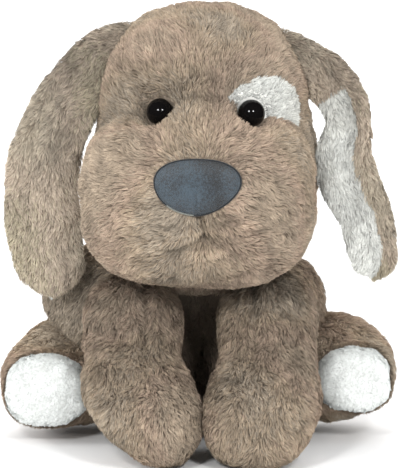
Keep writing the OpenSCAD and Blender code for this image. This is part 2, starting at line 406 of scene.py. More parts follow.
def front_leg_painted_shading(points):
    """Painted light and shade: the feet are lighter as they catch more light than the legs, the legs
    darker where the head shades them, and the seam's groove has a painted shade.
    """
    foot = np.clip((LEG_SEAM_END - points[:, 2]) / 25, 0, 1)
    return -1.4 + 1.7 * foot - 2.5 * leg_seam(points, 1.8)


def front_leg_panel(side, points):
    name = SIDE_NAME[side]
    outer = side * points[:, 0] > LEG_PANEL_X
    return np.where(outer, f"front_leg_{name}_outer", f"front_leg_{name}_inner").astype(object)


def front_leg_comb(side, points):
    p = points - SHOULDER[side]
    low = np.clip(-(p[:, 2] + 25) / 30, 0, 1)
    aside = (p[:, 0] + side * FOOT_INWARD[side]) / 30
    even = np.ones(len(p))
    return unit(np.stack([side * 0.1 + aside * low, -0.25 * even, -even], axis=1))


SOLE_LIFT = {LEFT: 1.5, RIGHT: -5.5}  # above the hip joint
SOLE_WRAP = 8.0  # how far a sole turns under the foot
SOLE_TALL = 0.89  # height of a sole as a share of its width
SOLE_HALF = {LEFT: 24.0, RIGHT: 26.5}
SOLE_POWER = 2.35  # 2 would be a plain oval
FOOT_DEPTH = 27.0
THIGH_R = (37, 39, 34)
THIGH_LIFT = {LEFT: 1.0, RIGHT: -2.5}


def sole_centre(side):
    return HIP[side] + [side * 13.5, -53, SOLE_LIFT[side]]


def hind_leg_distance(side, points):
    half = SOLE_HALF[side] + 1.2
    ankle = sole_centre(side) + [0, FOOT_DEPTH, 0]
    thigh = oval(points, HIP[side] + [0, 0, THIGH_LIFT[side]], THIGH_R)
    foot = pillow(points, ankle, (half, FOOT_DEPTH, half * SOLE_TALL), SOLE_POWER, 7)
    both = melt(thigh, foot, 10)
    return np.maximum(both, 0.8 - points[:, 2])


def hind_leg_comb(side, points):
    out = unit(points - HIP[side] + [0, 20, 0])
    return unit(np.array([0.35 * side, -0.5, -0.8]) + 0.3 * out)


def sole_zone(side, points):
    """How far outside the sole's edge a point is."""
    centre = sole_centre(side)
    half = SOLE_HALF[side] + 0.5
    x, z = (points[:, 0] - centre[0]) / half, (points[:, 2] - centre[2]) / (half * SOLE_TALL)
    edge = (np.abs(x) ** SOLE_POWER + np.abs(z) ** SOLE_POWER) ** (1 / SOLE_POWER)
    under = SOLE_WRAP * np.clip(-z, 0, 1)
    return np.where(points[:, 1] < centre[1] + 14, (edge - 1) * half - under, AWAY)


def hind_leg_panel(side, points):
    name = f"hind_leg_{SIDE_NAME[side]}"
    return np.where(sole_zone(side, points) < 0, f"{name}_sole", f"{name}_cover").astype(object)


def hind_leg_seams(side, points):
    return 1.2 * bell(sole_zone(side, points), 2.2)


def tail_distance(points):
    root = taper(points, TAIL, TAIL + [0, 10, 2], 12, 11)
    rise = taper(points, TAIL + [0, 11, 4], TAIL + [0, 17, 42], 10.5, 9)
    return melt(root, rise, 6)


SOLIDS = {"head": head_distance, "neck": neck_distance, "torso": torso_distance, "tail": tail_distance}
for side in SIDES:
    SOLIDS[f"front_leg_{SIDE_NAME[side]}"] = partial(front_leg_distance, side)
    SOLIDS[f"hind_leg_{SIDE_NAME[side]}"] = partial(hind_leg_distance, side)


def in_sight(name, points):
    """1 for each point of a part that isn't buried in a neighbour, 0 for the rest."""
    seen = np.ones(len(points))
    for other, distance in SOLIDS.items():
        if other != name:
            seen[distance(points) < -BURIED] = 0
    return seen


# ---- meshes ----

SWELL_DETAIL = 5  # the coarser grid that the stuffing is simulated on
FILLING_DETAIL = 4
CAST_STEPS = 20


def ball_grid(detail):
    """Directions and triangles of an even ball."""
    bm = bmesh.new()
    bmesh.ops.create_icosphere(bm, subdivisions=detail, radius=1)
    bm.verts.ensure_lookup_table()
    ways = np.array([v.co for v in bm.verts], float)
    faces = np.array([[v.index for v in f.verts] for f in bm.faces])
    bm.free()
    return ways, faces


def split(ways, faces):
    """A ball's triangles each cut into four, and the two ends of the edge that each new point halves."""
    sides = np.sort(np.vstack([faces[:, [0, 1]], faces[:, [1, 2]], faces[:, [2, 0]]]), axis=1)
    edges, where = np.unique(sides, axis=0, return_inverse=True)
    ab, bc, ca = where.reshape(3, -1) + len(ways)
    a, b, c = faces.T
    ways = np.vstack([ways, unit(ways[edges[:, 0]] + ways[edges[:, 1]])])
    quarters = ((a, ab, ca), (b, bc, ab), (c, ca, bc), (ab, bc, ca))
    return ways, np.vstack([np.stack(corners, axis=1) for corners in quarters]), edges


GRIDS = {detail: ball_grid(detail) for detail in (FILLING_DETAIL, SWELL_DETAIL)}
fine_ways, fine_faces, fine_edges = split(*GRIDS[SWELL_DETAIL])
GRIDS[SWELL_DETAIL + 1] = (fine_ways, fine_faces)


def cast(solid, inset, centre, reach, detail):
    """The surface this far inside a solid, as seen from a point within it, found by halving."""
    ways, faces = GRIDS[detail]
    low = np.zeros(len(ways))
    high = np.full(len(ways), float(reach))
    for _ in range(CAST_STEPS):
        middle = (low + high) / 2
        inside = solid(centre + ways * middle[:, None]) + inset < 0
        low = np.where(inside, middle, low)
        high = np.where(inside, high, middle)
    return centre + ways * low[:, None], faces


def face_normals(points, faces):
    a, b, c = (points[faces[:, i]] for i in range(3))
    return np.cross(b - a, c - a)


def point_normals(points, faces):
    flat = face_normals(points, faces)
    total = np.zeros_like(points)
    for i in range(3):
        for axis in range(3):
            total[:, axis] += np.bincount(faces[:, i], flat[:, axis], len(points))
    return unit(total)


def new_mesh(name, points, corners, sizes):
    """A smooth mesh from points in mm, a flat list of corners, and how many corners each face has."""
    mesh = bpy.data.meshes.new(name)
    mesh.vertices.add(len(points))
    mesh.vertices.foreach_set("co", (points * MM).astype(np.float32).ravel())
    mesh.loops.add(len(corners))
    mesh.loops.foreach_set("vertex_index", np.asarray(corners, np.int32))
    mesh.polygons.add(len(sizes))
    mesh.polygons.foreach_set("loop_start", (np.cumsum(sizes) - sizes).astype(np.int32))
    mesh.update(calc_edges=True)
    mesh.polygons.foreach_set("use_smooth", np.ones(len(sizes), bool))
    return mesh


def new_piece(name, mesh, materials):
    piece = bpy.data.objects.new(name, mesh)
    bpy.context.scene.collection.objects.link(piece)
    for material in materials:
        mesh.materials.append(material)
    return piece


def solid_piece(name, points, faces, *materials):
    """A piece made of triangles."""
    mesh = new_mesh(name, points, faces.ravel(), np.full(len(faces), 3, np.int32))
    return new_piece(name, mesh, materials)


def tube_faces(rings, around, looped=False):
    """Triangles of a tube of rings of points. Unless it is looped, one more point closes each end."""
    faces = []
    last = (rings - 1) * around
    for j in range(around):
        k = (j + 1) % around
        if not looped:
            faces += [(rings * around, k, j), (rings * around + 1, last + j, last + k)]
        for i in range(rings if looped else rings - 1):
            this, following = i * around, (i + 1) % rings * around
            faces += [(this + j, this + k, following + k), (this + j, following + k, following + j)]
    return np.array(faces)


def facing_out(points, faces):
    """The triangles of a closed form, turned so that they face outwards."""
    a, b, c = ((points - points.mean(axis=0))[faces[:, i]] for i in range(3))
    return faces if (a * np.cross(b, c)).sum() > 0 else faces[:, ::-1]


# ---- stuffing ----

PRESSURE = 4.0
SWELL_FRAMES = 20
SWELL_MOST = 3.5  # the furthest that stuffing may push a cover out, in mm
FILLING_DEPTH = 4.5  # from a cover in to its filling
FILLING_FOLLOWS = 1.6  # how far the filling gives way under a seam, as a share of the seam's pull
SEWN_AT = 0.35  # where seams pull a cover in this much, it is held fast
COVER_LOWEST = 0.6
PUFFS = ((0.7, 34), (0.4, 15), (0.3, 8))  # height and size of the soft lumps in a cover
HIDDEN_DENSITY = 0.75  # pile of the torso and neck, which the head and legs half hide, as a share


def swell(points, faces, held):
    """How far stuffing pushes each point of a cover out between its seams, by cloth simulation."""
    trial = solid_piece("swelling", points, faces)
    sewn = trial.vertex_groups.new(name="sewn")
    sewn.add(np.flatnonzero(held).tolist(), 1.0, "REPLACE")
    cloth = trial.modifiers.new("cloth", "CLOTH")
    settings = cloth.settings
    settings.quality = 4
    settings.mass = 0.3
    settings.use_pressure = True
    settings.uniform_pressure_force = PRESSURE
    settings.vertex_group_mass = "sewn"
    settings.effector_weights.gravity = 0
    cloth.point_cache.frame_start, cloth.point_cache.frame_end = 1, SWELL_FRAMES
    for step in range(1, SWELL_FRAMES + 1):
        bpy.context.scene.frame_set(step)
    shaped = trial.evaluated_get(bpy.context.evaluated_depsgraph_get()).to_mesh()
    found = np.empty(len(points) * 3, np.float32)
    shaped.vertices.foreach_get("co", found)
    bpy.data.objects.remove(trial)
    bpy.context.scene.frame_set(1)
    move = found.reshape(-1, 3) / MM - points
    far = np.linalg.norm(move, axis=1, keepdims=True)
    return move * np.minimum(1, SWELL_MOST / np.maximum(far, 1e-6))


def swollen(points, solid, centre, reach, detail, seams):
    """Points of a cover after stuffing."""
    start, faces = cast(solid, PILE_INSET, centre, reach, SWELL_DETAIL)
    held = (seams(start) > SEWN_AT) | (start[:, 2] < SEAT_TOP)
    move = swell(start, faces, held)
    if detail > SWELL_DETAIL:
        move = np.vstack([move, (move[fine_edges[:, 0]] + move[fine_edges[:, 1]]) / 2])
    return points + move


# ---- pile ----


def scatter(points, faces, normals, per_mm2, rng, share):
    """Roots spread evenly over a surface, kept where share isn't 0."""
    area = np.linalg.norm(face_normals(points, faces), axis=1) / 2
    count = int(area.sum() * per_mm2)
    pick = rng.choice(len(faces), count, p=area / area.sum())
    u, v = rng.random(count), rng.random(count)
    over = u + v > 1
    u[over], v[over] = 1 - u[over], 1 - v[over]
    weights = np.stack([1 - u - v, u, v], axis=1)[:, :, None]
    roots = (points[faces[pick]] * weights).sum(axis=1)
    up = unit((normals[faces[pick]] * weights).sum(axis=1))
    keep = share(roots) > 0
    return roots[keep], up[keep]


def lock_tips(roots, tips, seed):
    """The mean tip of the tufts in each lock, for each tuft."""
    drift = np.stack([waves(roots, LOCK * 3, seed + i) for i in range(3)], axis=1) * LOCK * 0.6
    cell = np.floor((roots + drift) / LOCK).astype(np.int64)
    key = np.bitwise_xor.reduce(cell * LOCK_PRIMES, axis=1)
    _, group = np.unique(key, return_inverse=True)
    count = np.bincount(group)
    mean = np.stack([np.bincount(group, tips[:, i]) / count for i in range(3)], axis=1)
    return mean[group], group


def tuft_mesh(name, roots, up, way, length, width, twist, leans, pull, seed):
    """Tufts as curved tapering blades, and which lock each is in."""
    way = unit(way - (way * up).sum(axis=1, keepdims=True) * up)
    spine = [roots - up * 0.4]
    for lean in leans:
        step = np.cos(lean)[:, None] * up + np.sin(lean)[:, None] * way
        spine.append(spine[-1] + step * (length / len(leans))[:, None])
    middle, group = lock_tips(roots, spine[-1], seed)
    gather = (middle - spine[-1]) * pull
    for i, share in enumerate(LOCK_REACH):
        spine[i + 1] = spine[i + 1] + gather * share
    across = unit(np.cross(up, way))
    out = unit(np.cross(way, across))
    across = across * np.cos(twist)[:, None] + out * np.sin(twist)[:, None]
    flat = np.cross(across, spine[-1] - spine[0])
    across = np.where((flat * up).sum(axis=1, keepdims=True) < 0, -across, across)
    rows = []
    for i, share in enumerate(BLADE_WIDTHS):
        half = across * (width * share / 2)[:, None]
        rows += [spine[i] - half, spine[i] + half]
    rows.append(spine[-1])
    points = np.stack(rows, axis=1).reshape(-1, 3)
    points[:, 2] = np.maximum(points[:, 2], FLOOR_GAP)
    corners = np.arange(len(roots))[:, None] * len(rows) + BLADE_CORNERS
    return new_mesh(name, points, corners.ravel(), np.tile(BLADE_SIZES, len(roots))), group


def pile_pieces(names, roots):
    """Name, panel and tufts of each piece. A big panel's pile is in several, side by side."""
    for name in sorted(set(names)):
        here = np.flatnonzero(names == name)
        here = here[np.argsort(roots[here, 0])]
        count = math.ceil(len(here) / PILE_MOST)
        for k, some in enumerate(np.array_split(here, count)):
            yield f"{name}_pile" if count == 1 else f"{name}_pile_{k + 1}", name, some


def grow_pile(points, faces, panel, comb, share, lightness_and_painted_shading, seed, density=1.0):
    """Pile for every panel of a sewn part, in pieces."""
    rng = np.random.default_rng(seed)
    normals = point_normals(points, faces)
    roots, up = scatter(points, faces, normals, PILE_PER_MM2 * density, rng, share)
    length_share = share(roots)
    pieces = []
    for piece_name, name, here in pile_pieces(panel(roots), roots):
        look = look_of(name)
        r, u = roots[here], up[here]
        n = len(r)
        way = comb(r)
        turn = 0.4 * waves(r, 26, seed + 5) + SWIRL * waves(r, 11, seed + 6)
        sway = turn[:, None] * unit(np.cross(u, way)) + rng.normal(0, STRAY, (n, 3))
        leans = [np.radians(lean + rng.normal(0, LEAN_SPREAD, n)) for lean in look["leans"]]
        length = look["length"] * length_share[here] * rng.uniform(0.8, 1.2, n)
        width = look["width"] * rng.uniform(0.75, 1.25, n)
        twist = rng.normal(0, look["twist"], n)
        mesh, group = tuft_mesh(
            piece_name, r, u, unit(way) + sway, length, width, twist, leans, look["pull"], seed + 11
        )
        shade = look["shade"](r, group, rng, lightness_and_painted_shading(r))
        mesh.polygons.foreach_set("material_index", shade.astype(np.int32).ravel())
        piece = new_piece(piece_name, mesh, look["materials"])
        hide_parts(name)
        pieces.append(piece)
    return pieces


# ---- materials ----


def set_sockets(node, settings):
    """Sets a node's sockets by name, with _ for a space."""
    for name, value in settings.items():
        node.inputs[name.replace("_", " ")].default_value = value
    return node


def principled(name, **settings):
    material = bpy.data.materials.new(name)
    material.use_nodes = True
    set_sockets(material.node_tree.nodes["Principled BSDF"], settings)
    return material


def new_node(tree, kind, **settings):
    return set_sockets(tree.nodes.new(kind), settings)


def linear(colour):
    """An sRGB colour, 0 to 255, as the shader takes it."""
    c = np.array(colour, float) / 255
    return tuple(np.where(c <= 0.04045, c / 12.92, ((c + 0.055) / 1.055) ** 2.4)) + (1.0,)


def pile_material(name, colour, sheen):
    tint = linear([min(255, c * 1.15) for c in colour])
    return principled(
        name, Base_Color=linear(colour), Roughness=0.85, Specular_IOR_Level=0.15,
        Sheen_Weight=sheen, Sheen_Roughness=0.45, Sheen_Tint=tint,
    )


def cloth_material(name, dark, light, size, bump=0.3, cloud_share=0.0, dye_range=(0.3, 0.7)):
    """A fine knit with uneven dye. cloud_share is how much of the dye varies over centimetres."""
    material = principled(name, Roughness=0.9, Sheen_Weight=0.2)
    tree = material.node_tree
    shader = tree.nodes["Principled BSDF"]
    where = tree.nodes.new("ShaderNodeTexCoord").outputs["Object"]
    fine = new_node(tree, "ShaderNodeTexNoise", Scale=size, Detail=5.0, Roughness=0.6)
    wide = new_node(tree, "ShaderNodeTexNoise", Scale=55.0, Detail=2.0)
    knit = new_node(tree, "ShaderNodeTexVoronoi", Scale=size * 12)
    raised = new_node(tree, "ShaderNodeBump", Strength=bump, Distance=0.0006)
    dye = new_node(tree, "ShaderNodeMix", Factor=cloud_share)
    ramp = tree.nodes.new("ShaderNodeValToRGB")
    for stop, place, colour in zip(ramp.color_ramp.elements, dye_range, (dark, light)):
        stop.position = place
        stop.color = linear(colour)
    for texture in (fine, wide, knit):
        tree.links.new(where, texture.inputs["Vector"])
    for giver, output, taker, socket in (
        (fine, "Fac", dye, "A"),
        (wide, "Fac", dye, "B"),
        (dye, "Result", ramp, "Fac"),
        (ramp, "Color", shader, "Base Color"),
        (knit, "Distance", raised, "Height"),
        (raised, "Normal", shader, "Normal"),
    ):
        tree.links.new(giver.outputs[output], taker.inputs[socket])
    return material


TAUPE_HUES = ((162, 147, 129), (164, 145, 128), (163, 147, 127), (159, 147, 131))
EAR_HUES = ((160, 150, 134), (162, 149, 134), (159, 150, 130))
WHITE_HUES = ((208, 209, 204), (203, 203, 197))
SOLE_HUES = ((202, 205, 203),)
LEVELS = (0.66, 0.74, 0.82, 0.9, 0.98, 1.06, 1.14)  # lightness of each shade of a hue
USUAL_LEVEL = 3.8
HUE_PATCH = 70  # mm over which the hue drifts
CLOUDS = (9, 22, 55)  # mm over which the lightness drifts


def pile_family(name, hues, sheen):
    """Every hue of a pile at every level of lightness, darkest first."""
    made = []
    for h, hue in enumerate(hues):
        for k, level in enumerate(LEVELS):
            colour = [min(250, c * level) for c in hue]
            made.append(pile_material(f"{name}_{h}_{k}", colour, sheen))
    return made


def family_shade(hue_count, seed, spread, shift, roots, group, rng, lightness_and_painted_shading):
    """Picks hue by slow noise and lightness by lock and chance; roots are darker than tips."""
    slow = waves(roots, HUE_PATCH, seed) + 0.25 * rng.normal(size=len(roots))
    hue = np.clip(((slow + 1.2) / 2.4 * hue_count).astype(int), 0, hue_count - 1)
    lock = np.random.default_rng(seed).normal(size=group.max() + 1)[group]
    chance = 0.5 * lock + 0.45 * rng.normal(size=len(roots))
    cloud = sum(0.5 * waves(roots, size, seed + size) for size in CLOUDS)
    # each part's painted light and shade, or its even shift, moves the lightness
    light = USUAL_LEVEL + shift + spread * (chance + cloud) + lightness_and_painted_shading
    tip = np.clip(np.round(light), 0, len(LEVELS) - 1).astype(int)
    middle = np.maximum(tip - (rng.random(len(roots)) < 0.5), 0)
    root = np.maximum(tip - (1 + (rng.random(len(roots)) < 0.4)) * (spread > 0.5), 0)
    first = hue * len(LEVELS)
    return np.stack([first + root, first + middle, first + tip], axis=1)


def pile_look(name, hues, sheen, seed, spread=1.0, shift=0.0, **changes):
    """How a kind of pile grows and is coloured. Ordinary taupe plush, but for the changes."""
    look = dict(
        leans=LEANS, length=PILE_LENGTH, width=PILE_WIDTH, pull=LOCK_PULL, twist=0.7, slot="taupe_plush",
        materials=pile_family(name, hues, sheen),
        shade=partial(family_shade, len(hues), seed, spread, shift),
    )
    look.update(changes)
    return look


TAUPE_LOOK = pile_look("taupe_pile", TAUPE_HUES, 0.35, 31)
EAR_LOOK = pile_look("ear_pile", EAR_HUES, 0.35, 33, shift=0.9, length=5.2, leans=(40, 64, 80))
WHITE_LOOK = pile_look(
    "white_pile", WHITE_HUES, 0.3, 37, spread=0.7, length=5.2, leans=(40, 66, 80), twist=0.4,
    slot="white_plush",
)
SOLE_LOOK = pile_look(
    "sole_pile", SOLE_HUES, 0.3, 41, spread=0.15, shift=0.2, length=3.4, width=PILE_WIDTH * 3.6,
    leans=(60, 84, 89), pull=0.0, twist=0.15, slot="sole_plush",
)
# The taupe backing is real knit, but its colours are set darker than the pile's as painted shade between
# the tufts.
taupe_backing_with_painted_shade = cloth_material("taupe_backing", (124, 110, 96), (146, 131, 115), 40)
white_cloth = cloth_material("white_backing", (205, 204, 198), (232, 231, 226), 40)
sole_cloth = cloth_material("sole_velour", (206, 209, 207), (228, 231, 229), 60, bump=0.5)
nose_cloth = cloth_material(
    "nose_velour", (3, 11, 19), (62, 84, 99), 900, bump=1.0, cloud_share=0.42, dye_range=(0.4, 0.62)
)
seam_thread = cloth_material("seam_thread", (16, 19, 22), (34, 38, 42), 900)
turned_edge = cloth_material("turned_edge", (92, 96, 92), (126, 128, 120), 900)
filling = cloth_material("fibre_filling", (214, 213, 208), (245, 245, 242), 120, bump=0.8)


def look_of(panel):
    if panel == "eye_patch" or panel.endswith("_lining"):
        return WHITE_LOOK
    if panel.endswith("_sole"):
        return SOLE_LOOK
    return EAR_LOOK if panel.startswith("ear") else TAUPE_LOOK


# ---- sewing a part ----


def show_light_backing(cover, points, faces, panel):
    """The light panels of a cover are knitted in white yarn."""
    names = panel(points[faces].mean(axis=1))
    light = np.array([look_of(n)["slot"] != "taupe_plush" for n in names])
    cover.data.materials.append(white_cloth if "ear" in cover.name or "head" in cover.name else sole_cloth)
    cover.data.polygons.foreach_set("material_index", light.astype(np.int32))


def no_seams(points):
    return np.zeros(len(points))


def even_tone(level):
    return lambda points: level


def pile_above(height):
    """Full pile above a height, none below it."""
    return lambda points: np.where(points[:, 2] < height, 0.0, 1.0)


def all_named(name):
    return lambda points: np.full(len(points), name, object)


def all_combed(way):
    return lambda points: np.tile(way, (len(points), 1))


def stuffed_part(
    body, centre, reach, detail, panel, comb, seed, stuffing,
    seams=no_seams, share=pile_above(0), lightness_and_painted_shading=even_tone(0.0), density=1.0,
):
    """A closed cover of cloth with its padding inside and its pile outside.

    reach is further than any of it is from its centre, and detail how fine its grid is.
    """
    solid = SOLIDS[body]

    def seen_share(points):
        return share(points) * in_sight(body, points)

    points, faces = cast(solid, PILE_INSET, centre, reach, detail)
    points = swollen(points, solid, centre, reach, detail, seams)
    lumps = sum(height * waves(points, size, seed + i) for i, (height, size) in enumerate(PUFFS))
    puff = lumps - seams(points)
    points = points + point_normals(points, faces) * puff[:, None]
    points[:, 2] = np.maximum(points[:, 2], COVER_LOWEST)
    cover = solid_piece(f"{body}_cloth", points, faces, taupe_backing_with_painted_shade)
    show_light_backing(cover, points, faces, panel)
    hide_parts(*sorted(set(panel(points))))
    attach(cover, body)
    inner, inner_faces = cast(solid, PILE_INSET + FILLING_DEPTH, centre, reach, FILLING_DETAIL)
    sunk = 0.6 * waves(inner, 9, seed + 2) - FILLING_FOLLOWS * seams(inner)
    inner += point_normals(inner, inner_faces) * sunk[:, None]
    wad = solid_piece(f"{body}_filling", inner, inner_faces, filling)
    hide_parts(*stuffing)
    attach(wad, body)
    for piece in grow_pile(points, faces, panel, comb, seen_share, lightness_and_painted_shading, seed, density):
        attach(piece, body)


def sew_trunk():
    """Head, torso and neck."""
    stuffed_part(
        "head", from_head(np.array([0, -30, 55])), 120, 6, head_panel, head_comb, 101, ["head_stuffing"],
        seams=head_seams, share=head_pile, lightness_and_painted_shading=head_painted_shading,
    )
    stuffed_part(
        "torso", NECK + [0, 23.24, -66], 120, 6, torso_panel, torso_comb, 202,
        ["torso_stuffing", "pellet_bag"], seams=torso_seams, share=pile_above(4), lightness_and_painted_shading=torso_painted_shade,
        density=HIDDEN_DENSITY,
    )
    stuffed_part(
        "neck", NECK, 60, 5, all_named("neck_stuffing"), all_combed(-UP), 303, ["neck_stuffing"],
        density=HIDDEN_DENSITY,
    )


def sew_legs(side):
    """The front and hind leg of one side."""
    front, hind = f"front_leg_{SIDE_NAME[side]}", f"hind_leg_{SIDE_NAME[side]}"
    stuffed_part(
        front, SHOULDER[side] + [-side * 3, -26, -36], 90, 6, partial(front_leg_panel, side),
        partial(front_leg_comb, side), 404 + side, [f"{front}_stuffing"],
        seams=partial(front_leg_seams, side), share=pile_above(2), lightness_and_painted_shading=front_leg_painted_shading,
    )
    stuffed_part(
        hind, HIP[side] + [side * 6, -14, 0], 90, 5, partial(hind_leg_panel, side),
        partial(hind_leg_comb, side), 505 + side, [f"{hind}_stuffing"],
        seams=partial(hind_leg_seams, side), share=pile_above(2), lightness_and_painted_shading=even_tone(1.0),
    )


sew_trunk()
for side in SIDES:
    sew_legs(side)
stuffed_part(
    "tail", TAIL + [0, 13, 16], 60, 5, all_named("tail_cover"), all_combed([0, 0.2, 1.0]), 606,
    ["tail_stuffing"],
)

# ---- ears ----

# Along each ear: its middle line, measured from the hinge with x away from the head, then its
# half width and half thickness.
EAR_LINE = {
    RIGHT: [
        ((-24, 6, 1), 19, 8),
        ((-8, 1, 0), 21.5, 8),
        ((11, -5, -14), 22, 8),
        ((28, -8, -39), 23, 8),
        ((36.5, -10, -69), 25.5, 8),
        ((37, -10, -100), 26, 8.5),
        ((33.5, -9, -126), 24, 8.5),
        ((30, -8, -145), 20, 8),
    ],
    LEFT: [
        ((-26, 6, 2), 17, 8),
        ((-5, 0, -7), 18.5, 8),
        ((11, -6, -19), 18.5, 8.5),
        ((18.0, -9, -38), 16, 9),
        ((16, -10, -60), 19.5, 9),
        ((22, -10, -80), 20.5, 9),
        ((30, -10, -101), 19, 9),
        ((34, -9, -119), 17, 8.5),
        ((33, -8, -135), 15, 8),
    ],
}
EAR_RINGS = 90  # steps along an ear
EAR_AROUND = 48
EAR_INSET = 4.0
EAR_TURN = {RIGHT: -12, LEFT: 14}  # how far the flat of the ear is turned from facing forwards, in degrees
EAR_TIP = 15.0  # length of the rounded end
EAR_CUP = {RIGHT: -3.0, LEFT: 4.0}  # how far forwards its edges curl
EAR_FOLD = {RIGHT: 5.0, LEFT: 2.0}  # depth of its long crease
EAR_FOLD_AT = {RIGHT: 0.45, LEFT: 0.1}
LINING = {RIGHT: (220, 352), LEFT: (58, 208)}  # degrees round it from its outer edge, front first
LINING_START = {RIGHT: 0.12, LEFT: 0.27}
EAR_PAINTED_SHADOW = {RIGHT: 1.9, LEFT: 0.0}  # painted shadow: how much darker its inner edge is, where it turns in towards the head
EAR_PAINTED_SHADOW_AT = (22.0, -36.0)  # where that is, outwards and upwards from the hinge


def ear_frames(side):
    """Middle line, directions and half sizes at even steps along an ear."""
    knots = np.array([[side * x, y, z, w, h] for (x, y, z), w, h in EAR_LINE[side]], float)
    padded = np.vstack([2 * knots[0] - knots[1], knots, 2 * knots[-1] - knots[-2]])
    u = np.linspace(0, len(knots) - 1, EAR_RINGS)
    i = np.minimum(u.astype(int), len(knots) - 2)
    t = (u - i)[:, None]
    p0, p1, p2, p3 = (padded[i + k] for k in range(4))
    bent = (2 * p0 - 5 * p1 + 4 * p2 - p3) * t**2 + (3 * p1 - p0 - 3 * p2 + p3) * t**3
    curve = 0.5 * (2 * p1 + (p2 - p0) * t + bent)
    spine = curve[:, :3] + EAR[side]
    tangent = unit(np.gradient(spine, axis=0))
    run = np.concatenate([[0], np.cumsum(np.linalg.norm(np.diff(spine, axis=0), axis=1))])
    wide = unit(np.stack([-side * tangent[:, 2], 0 * run, side * tangent[:, 0]], axis=1))
    front = unit(np.cross(wide, tangent) * side)
    front *= np.where(front[:, 1:2] > 0, -1, 1)
    turn = math.radians(EAR_TURN[side])
    c, s = math.cos(turn), math.sin(turn)
    wide, front = wide * c + front * s, front * c - wide * s
    end = np.sqrt(1 - np.clip(1 - (run[-1] - run) / EAR_TIP, 0, 1) ** 2)
    return spine, tangent, wide, front, curve[:, 3] * end, curve[:, 4] * np.sqrt(end), run / run[-1]


def ear_bend(side, across, t, half):
    """How far forwards the ear is cupped and creased."""
    cup = EAR_CUP[side] * across**2 * np.clip(t * 3, 0, 1)
    fold = EAR_FOLD[side] * bell(across - EAR_FOLD_AT[side], 0.22) * bell(t - 0.42, 0.25)
    return (cup - fold) * np.minimum(half / 12, 1)


def ear_surface(side):
    """Points and triangles of an ear's cover."""
    spine, tangent, wide, front, half, thick, t = ear_frames(side)
    half, thick = np.maximum(half - EAR_INSET, 0.3), np.maximum(thick - EAR_INSET, 0.3)
    angle = circle(EAR_AROUND)
    c, s = np.cos(angle), np.sin(angle)
    across = np.sign(c) * np.abs(c) ** 0.85
    through = np.sign(s) * np.abs(s) ** 0.8
    bend = ear_bend(side, across[None, :], t[:, None], half[:, None])
    aside = (half[:, None] * across)[:, :, None]
    lift = (thick[:, None] * through + bend)[:, :, None]
    points = (spine[:, None] + wide[:, None] * aside + front[:, None] * lift).reshape(-1, 3)
    points = np.vstack([points, spine[:1], spine[-1:] + tangent[-1:] * 0.2])
    return points, facing_out(points, tube_faces(EAR_RINGS, EAR_AROUND))


def ear_place(side, points):
    """For each point: share of the way along the ear, degrees round it, and the ear's directions there."""
    spine, tangent, wide, front, half, thick, t = ear_frames(side)
    best = np.zeros(len(points), int)
    least = np.full(len(points), np.inf)
    for i in range(len(spine)):
        d = ((points - spine[i]) ** 2).sum(axis=1)
        near = d < least
        best[near], least[near] = i, d[near]
    away = points - spine[best]
    u = (away * wide[best]).sum(axis=1) / np.maximum(half[best], 1)
    bend = ear_bend(side, np.clip(u, -1, 1), t[best], half[best])
    v = ((away * front[best]).sum(axis=1) - bend) / np.maximum(thick[best], 1)
    return t[best], np.degrees(np.arctan2(v, u)) % 360, u, tangent[best], wide[best]


def ear_panel(side, points):
    name = SIDE_NAME[side]
    along, angle = ear_place(side, points)[:2]
    low, high = LINING[side]
    inner = (angle > low) & (angle < high) & (along > LINING_START[side])
    return np.where(inner, f"ear_{name}_lining", f"ear_{name}_outer").astype(object)


def ear_comb(side, points):
    u, tangent, wide = ear_place(side, points)[2:]
    return tangent + 0.25 * wide * u[:, None]


def ear_lightness_and_painted_shadow(side, points):
    """Darker pile near the hinge, and a painted shadow where the right ear turns in towards the head."""
    p = points - EAR[side]
    root = np.clip((p[:, 2] + 45) / 40, 0, 1)
    turned = bell(side * p[:, 0] - EAR_PAINTED_SHADOW_AT[0], 16) * bell(p[:, 2] - EAR_PAINTED_SHADOW_AT[1], 26)
    return 0.3 - 1.3 * root - EAR_PAINTED_SHADOW[side] * turned


def make_ear(side):
    body = f"ear_{SIDE_NAME[side]}"
    points, faces = ear_surface(side)
    puff = 0.8 * waves(points, 30, 71 + side) + 0.35 * waves(points, 13, 75 + side)
    points = points + point_normals(points, faces) * puff[:, None]
    panel = partial(ear_panel, side)
    cover = solid_piece(f"{body}_cloth", points, faces, taupe_backing_with_painted_shade)
    show_light_backing(cover, points, faces, panel)
    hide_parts(f"{body}_outer", f"{body}_lining")
    comb, share, lightness_and_painted_shading = partial(ear_comb, side), partial(in_sight, body), partial(ear_lightness_and_painted_shadow, side)
    pile = grow_pile(points, faces, panel, comb, share, lightness_and_painted_shading, 707 + side)
    spine = ear_frames(side)[0]
    for piece in [cover] + pile:
        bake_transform(piece)


for side in SIDES:
    make_ear(side)

# ---- nose and eyes ----

NOSE_PUFF = 7.2  # how far its padding stands out
NOSE_SEAM = 0.8  # depth of the short seam below its middle
WAD_SHRINK, WAD_SUNK = 0.93, 1.2
PIPING_R = 0.75
PIPING_RINGS, PIPING_AROUND = 120, 8
TURNED_EDGE = (215, 262)  # degrees round the nose where its edge shows a pale turned hem


def nose_ring(angle, reach):
    """Points round the middle of the nose, laid on the head's cover."""
    x, z = NOSE_AT[0] + reach * np.cos(angle), NOSE_AT[2] + reach * np.sin(angle)
    y = np.full(len(angle), NOSE_AT[1] - 30.0)
    for _ in range(40):
        y += 0.9 * (head_distance(from_head(np.stack([x, y, z], axis=1))) + PILE_INSET)
    return np.stack([x, y, z], axis=1)


